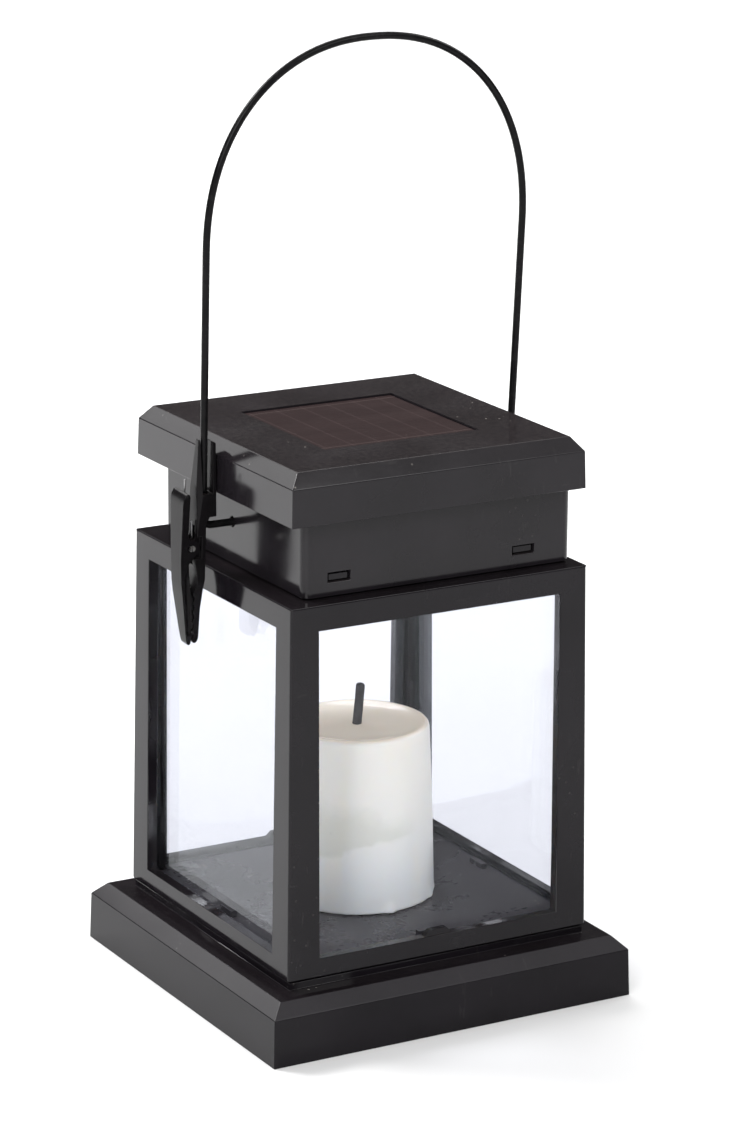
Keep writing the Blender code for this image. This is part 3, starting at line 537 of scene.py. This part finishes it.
def lathe(name, profile, steps):
    """A closed turned mesh from (radius, height) points in millimetres, axis to axis."""
    shape = bmesh.new()
    rings = []
    for radius, height in profile:
        if radius == 0:
            rings.append([shape.verts.new((0, 0, height * MM))])
        else:
            rings.append([shape.verts.new((radius * MM * cos(2 * pi * i / steps),
                                           radius * MM * sin(2 * pi * i / steps), height * MM))
                          for i in range(steps)])
    for above, below in zip(rings, rings[1:]):
        for i in range(steps):
            j = (i + 1) % steps
            corners = [above[i % len(above)], below[i % len(below)],
                       below[j % len(below)], above[j % len(above)]]
            shape.faces.new(list(dict.fromkeys(corners)))
    bmesh.ops.recalc_face_normals(shape, faces=shape.faces)
    for face in shape.faces:
        face.smooth = True
    mesh = mesh_from(shape, name)
    mesh.set_sharp_from_angle(angle=radians(50))
    return bpy.data.objects.new(name, mesh)


def rod(name, points, radius, resolution=6):
    """A mesh of a round wire through points, in metres. The radius is in millimetres."""
    curve = bpy.data.curves.new(name, "CURVE")
    curve.dimensions = "3D"
    curve.bevel_depth = radius * MM
    curve.bevel_resolution = resolution
    curve.use_fill_caps = True
    spline = curve.splines.new("POLY")
    spline.points.add(len(points) - 1)
    for place, point in zip(spline.points, points):
        place.co = (*point, 1.0)
    wire = link(bpy.data.objects.new(name, curve))
    mesh = evaluated_mesh(wire)
    bpy.data.objects.remove(wire)
    return bpy.data.objects.new(name, mesh)


# ---------------------------------------------------------------- bail

PIVOT_HEIGHT = 106.0  # millimetres
PIVOT = Vector((0, 0, PIVOT_HEIGHT)) * MM
LEAN = (Matrix.Translation(PIVOT) @ Matrix.Rotation(radians(3.0), 4, "X")
        @ Matrix.Translation(-PIVOT))  # the bail and the clip on it stand 3 degrees back


def leaning(points):
    """Points in millimetres on the upright bail, taken to where it stands, in metres."""
    return [LEAN @ (Vector(point) * MM) for point in points]


def bail_points():
    """From the left stub up the leg to the crown, and down the right leg."""
    stub_end, foot_x, top_x, leg_top, crown = 27.0, 37.6, 38.2, 165.5, 207.9
    bend = 2.0  # radius where the stub turns up into the leg
    power = 2 / 2.2  # the crown is a superellipse of order 2.2
    bend_steps, leg_steps, crown_steps = 12, 12, 48
    leg_foot = PIVOT_HEIGHT + bend
    half = [(-stub_end, 0, PIVOT_HEIGHT)]
    for i in range(bend_steps + 1):
        turn = pi / 2 * i / bend_steps
        half.append((-foot_x + bend * (1 - sin(turn)), 0, leg_foot - bend * cos(turn)))
    for i in range(1, leg_steps + 1):
        share = i / leg_steps
        half.append((-foot_x - (top_x - foot_x) * share, 0,
                     leg_foot + (leg_top - leg_foot) * share))
    for i in range(1, crown_steps + 1):
        turn = pi / 2 * i / crown_steps
        half.append((-top_x * cos(turn) ** power, 0,
                     leg_top + (crown - leg_top) * sin(turn) ** power))
    half[-1] = (0, 0, crown)
    return leaning(half + [(-x, y, z) for x, y, z in reversed(half[:-1])])


show(rod("bail_wire", bail_points(), 0.8), "bail")


# ---------------------------------------------------------------- case

# Edges with |x| and |y| both over this are the outer corners of the body's columns.
COLUMN_FROM = 33 * MM
# Half the width of the square round the lid's window in which no edge is rounded.
WINDOW_HALF = 22 * MM


def column_corner(edge):
    """The body's outer corners are rounder than its window edges."""
    outside = all(min(abs(v.co.x), abs(v.co.y)) > COLUMN_FROM for v in edge.verts)
    return 1.0 if outside else 0.3


def outside_window(edge):
    """The lid's edges apart from those of the panel's window, which stay sharp."""
    return 1.0 if max(abs(part) for v in edge.verts for part in v.co.xy) > WINDOW_HALF else 0.0


refined("plinth", 0.16, DEEP, least=4.0)
refined("body_frame", 0.55, FRAME, least=5.0, share_of=column_corner)
refined("neck", 0.25)
refined("lid", 0.16, least=4.0, share_of=outside_window)
refined("lid_base", 0.2, least=5.0)
refined("bottom_cover", 0.25, UNDERSIDE, least=3.0)
refined("battery_door", 0.25, UNDERSIDE)
refined("switch_knob", 0.2, UNDERSIDE)
refined("pane_front", 0.06, FRONT_PANE)
for side in ("right", "back", "left"):
    refined("pane_" + side, 0.06)
refined("solar_cover", 0.1)
refined("solar_cell", 0.05)
for half in ("clip_body", "clip_lever"):
    refined(half, 0.14, least=0.3, segments=2)


# ---------------------------------------------------------------- candle and wick

CANDLE_FOOT = 18.4
CANDLE_TOP = [(0, 56.45), (5, 56.43), (9, 56.46), (11.5, 56.56), (12.8, 56.72), (13.6, 56.9),
              (14.2, 57.04), (14.7, 57.12), (15.15, 57.1), (15.55, 56.92), (15.86, 56.55),
              (16.02, 56.0)]  # radius and height: a shallow dish and a rolled rim
WALL_TOP, WALL_FOOT, WALL_STEPS = (16.06, 56.0), (17.3, 18.9), 30
CANDLE_INSIDE = [(17.32, 18.65), (17.2, CANDLE_FOOT), (15.7, CANDLE_FOOT), (14.5, 53.4),
                 (0, 53.4)]  # round the foot and up the hollow to its ceiling
INSIDE_RADIUS, INSIDE_TOP = 15.9, 54.2  # what is within both is the hollow, left as turned
WALL_FROM, DISH_FROM = 15.0, 1.0  # radii: uneven in and out from the first, up and down between
FOOT_CHIPS = ((-1.62, 0.75), (-0.82, 0.5), (-2.7, 0.3), (1.1, 0.4))  # radians, millimetres
CHIP_HALF_ANGLE = 0.11


def candle_unevenness(angle, height):
    """How far the wall stands outside a true cone, in millimetres."""
    wave = 0.05 * sin(3 * angle + height * 0.11) + 0.035 * sin(7 * angle - height * 0.19)
    if height < CANDLE_FOOT + 1.2:
        wave += 0.12 * max(0.0, sin(11 * angle + 0.7)) ** 8
        for chip, size in FOOT_CHIPS:
            wave += size * max(0.0, 1 - abs(angle - chip) / CHIP_HALF_ANGLE)
    return wave


def build_candle():
    """The hollow shell: a dished top, a rolled rim, a flaring wall and an open foot."""
    profile = list(CANDLE_TOP)
    for i in range(1, WALL_STEPS + 1):
        share = i / WALL_STEPS
        profile.append(tuple(top + (foot - top) * share
                             for top, foot in zip(WALL_TOP, WALL_FOOT)))
    shell = lathe("candle", profile + CANDLE_INSIDE, 128)
    for vertex in shell.data.vertices:
        x, y, z = (value / MM for value in vertex.co)
        radius = sqrt(x * x + y * y)
        if radius < INSIDE_RADIUS and z < INSIDE_TOP:
            continue
        angle = atan2(y, x)
        if radius > WALL_FROM:
            wave = candle_unevenness(angle, z)
            vertex.co.x += wave * cos(angle) * MM
            vertex.co.y += wave * sin(angle) * MM
        elif radius > DISH_FROM:
            vertex.co.z += 0.05 * sin(2 * angle + radius * 0.3) * MM
    show(shell, "candle_shell")


def build_wick():
    """A plaited stick that leans out of the candle's dish, its foot sunk in the wax."""
    foot, twist = 55.7, 0.05
    lean = Matrix.Rotation(radians(5.0), 4, "Y")
    stick = lathe("candle_wick", [(0, 9.93), (0.5, 9.9), (0.85, 9.75), (1.02, 9.45), (1.05, 9.0),
                                  (1.02, 6.5), (1.07, 4.0), (1.03, 2.0), (1.08, 0.6), (0.9, 0.05),
                                  (0, 0.0)], 28)
    for vertex in stick.data.vertices:
        z = vertex.co.z / MM
        plait = twist * MM * sin(z * 2.4 + 3 * atan2(vertex.co.y, vertex.co.x))
        flat = Vector((vertex.co.x, vertex.co.y, 0))
        if flat.length:
            vertex.co += flat.normalized() * (plait - twist * MM)
    stick.data.transform(Matrix.Translation(Vector((0, 0, foot)) * MM) @ lean)
    show(stick, "wick")


build_candle()
build_wick()


# ---------------------------------------------------------------- screws

HEAD_HEIGHT, TIP_HEIGHT = 0.9, 0.9
THREAD_CREST, THREAD_ROOT, THREAD_PITCH = 0.98, 0.8, 0.46
SLOT_CUTTER, SLOT_MIDDLE = (3.6, 0.5, 2.0), -1.5  # sides, and height from the shoulder
HEAD = [(0.95, 0), (1.85, 0), (2.0, -0.12), (2.0, -0.42), (1.86, -0.66), (1.5, -0.84),
        (0.8, -0.9), (0, -HEAD_HEIGHT)]
SCREWS_OF_LENGTH = {
    6.8: ("cover_screw_1", "cover_screw_2", "cover_screw_3", "cover_screw_4"),
    5.6: ("battery_door_screw",),
    11.0: ("frame_screw_1", "frame_screw_2", "frame_screw_3"),
    8.8: ("lid_screw_1", "lid_screw_2", "lid_screw_3", "lid_screw_4"),
    6.0: ("board_screw_1", "board_screw_2"),
    4.6: ("candle_screw_1", "candle_screw_2"),
}


def slot_cutter():
    """A block that cuts the slot in a screw's head."""
    shape = bmesh.new()
    bmesh.ops.create_cube(shape, size=1.0)
    bmesh.ops.scale(shape, vec=Vector(SLOT_CUTTER) * MM, verts=shape.verts)
    bmesh.ops.translate(shape, vec=(0, 0, SLOT_MIDDLE * MM), verts=shape.verts)
    return bpy.data.objects.new("slot", mesh_from(shape, "slot"))


def fine_screw(node, length):
    """A slotted pan-head screw with a domed head and a cut thread, head down."""
    low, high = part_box(node)
    crest = length - TIP_HEIGHT
    profile = [(0, length), (0.3, length - 0.1), (0.9, crest)]
    while crest > 1.0:
        profile += [(THREAD_CREST, crest), (THREAD_ROOT, crest - 0.22),
                    (THREAD_CREST, crest - 0.44)]
        crest -= THREAD_PITCH
    screw = lathe("screw_" + node, profile + HEAD, 32)
    cutter = slot_cutter()
    link(screw)
    link(cutter)
    cut = screw.modifiers.new("slot", "BOOLEAN")
    cut.object = cutter
    cut.solver = "EXACT"
    mesh = evaluated_mesh(screw)
    screw.modifiers.clear()
    screw.data = mesh
    bpy.data.objects.remove(cutter)
    mesh.set_sharp_from_angle(angle=radians(40))
    # Each slot points its own way, as screws driven by hand do.
    turn = Matrix.Rotation(radians(17 + 61 * (len(node) + ord(node[-1])) % 180), 4, "Z")
    middle = (low + high) / 2
    shoulder = low.z + HEAD_HEIGHT * MM
    mesh.transform(Matrix.Translation((middle.x, middle.y, shoulder)) @ turn)
    show(screw, node)


for length, screws in SCREWS_OF_LENGTH.items():
    for node in screws:
        fine_screw(node, length)


# ---------------------------------------------------------------- the clip's spring

def spring_points():
    """The clip's torsion spring: an arm, the coils round the pin, the other arm."""
    pin_x, pin_z, reach, turns, steps = -41.2, 102.0, 1.15, 2.1, 24
    coil_foot = -0.5  # Y where the coils begin; they end one millimetre further on
    points = [(-40.55, coil_foot, 107.6), (-40.45, coil_foot, 104.0)]
    start = atan2(1.0, 0.6)
    for i in range(int(turns * steps) + 1):
        angle = start - 2 * pi * i / steps
        points.append((pin_x + reach * cos(angle), coil_foot + i / (turns * steps),
                       pin_z + reach * sin(angle)))
    points += [(-41.8, 0.55, 105.0), (-41.75, 0.55, 110.0), (-41.8, 0.55, 116.6)]
    return leaning(points)


# The spring turns from the clip to its lever between its two arms.
spring = dress(rod("torsion_spring", spring_points(), 0.2, resolution=4), "clip_spring")
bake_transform(spring)


# ---------------------------------------------------------------- the CAD nodes that stay

for name, node in nodes.items():
    if not node.hide_render:
        node.data.materials.clear()
        node.data.materials.append(LOOKS[slot_of_node[name]])


# ---------------------------------------------------------------- camera, floor and light

def build_camera():
    """The photograph's viewpoint, from a least-squares fit of the lantern's corners."""
    azimuth, elevation, roll = -0.518768, 0.276136, 0.008328
    target, distance, lens = Vector((15.19, 19.13, 86.23)) * MM, 0.9216, 132.94
    back = Vector((sin(azimuth) * cos(elevation), -cos(azimuth) * cos(elevation), sin(elevation)))
    level = Vector((cos(azimuth), sin(azimuth), 0.0))
    upright = back.cross(level)
    right = cos(roll) * level + sin(roll) * upright
    up = -sin(roll) * level + cos(roll) * upright
    camera = link(bpy.data.objects.new("camera", bpy.data.cameras.new("camera")))
    camera.data.sensor_width = 36.0
    camera.data.lens = lens
    camera.data.clip_start = 0.01
    camera.data.clip_end = 50.0
    place = Matrix((right, up, back)).transposed().to_4x4()
    place.translation = target + back * distance
    camera.matrix_world = place
    bpy.context.scene.camera = camera


def build_floor():
    """A disc so wide that its edge stays out of the photograph's view."""
    shape = bmesh.new()
    bmesh.ops.create_circle(shape, cap_ends=True, radius=9.0, segments=96)
    floor = link(bpy.data.objects.new("floor", mesh_from(shape, "floor")))
    floor.data.materials.append(studio_floor_paper())


# Sine of the angle above the horizon, and how bright the sky is there.
SKY = ((0.03, 0.65), (0.08, 0.04), (0.375, 0.04), (0.43, 0.78), (0.72, 0.9))
SKY_HORIZON, SKY_ZENITH, SKY_STRENGTH = (0.8, 0.8, 0.81, 1), (0.7, 0.7, 0.7, 1), 0.9


def build_world():
    """Pale at the horizon, dark from 5 to 22 degrees above it, bright overhead.

    Flat tops mirror the dark band and stay black, and chamfers mirror the bright sky and lift.
    """
    world = bpy.data.worlds.new("studio")
    bpy.context.scene.world = world
    world.use_nodes = True
    tree = world.node_tree
    background = tree.nodes["Background"]
    place = tree.nodes.new("ShaderNodeTexCoord")
    split = tree.nodes.new("ShaderNodeSeparateXYZ")
    ramp = tree.nodes.new("ShaderNodeValToRGB")
    tree.links.new(place.outputs["Generated"], split.inputs[0])
    tree.links.new(split.outputs["Z"], ramp.inputs["Fac"])
    tree.links.new(ramp.outputs["Color"], background.inputs["Color"])
    stops = ramp.color_ramp.elements
    stops[0].position, stops[0].color = 0.0, SKY_HORIZON
    stops[1].position, stops[1].color = 1.0, SKY_ZENITH
    for position, value in SKY:
        stops.new(position).color = (value, value, value, 1)
    background.inputs["Strength"].default_value = SKY_STRENGTH


# Name, place, what it is aimed at, width, height and watts.
SOFTBOXES = (
    ("key", (-0.6, 0.85, 1.1), (-0.45, 0.65, 0.0), 0.6, 0.6, 27),
    ("fill", (-1.0, -1.0, 0.75), (0.0, 0.0, 0.05), 0.7, 0.7, 15),
    ("front", (0.5, -1.2, 1.15), (0.0, 0.0, 0.05), 0.8, 0.8, 9),
    ("side", (1.2, 0.2, 1.0), (0.1, 0.0, 0.0), 0.8, 0.8, 8),
    ("card", (-0.5, 1.3, 0.77), (0.0, 0.0, 0.05), 0.44, 0.3, 0.92),
    ("far", (0.7, 2.3, 2.2), (0.7, 2.3, 0.0), 1.8, 1.8, 50),
)


def build_lights():
    for name, place, aim, width, height, power in SOFTBOXES:
        data = bpy.data.lights.new(name, "AREA")
        data.shape = "RECTANGLE"
        data.size = width
        data.size_y = height
        data.energy = power
        light = link(bpy.data.objects.new(name, data))
        light.location = place
        away = Vector(place) - Vector(aim)
        light.rotation_euler = away.to_track_quat("Z", "Y").to_euler()


build_camera()
build_floor()
build_world()
build_lights()
bpy.context.scene.view_settings.view_transform = "Standard"
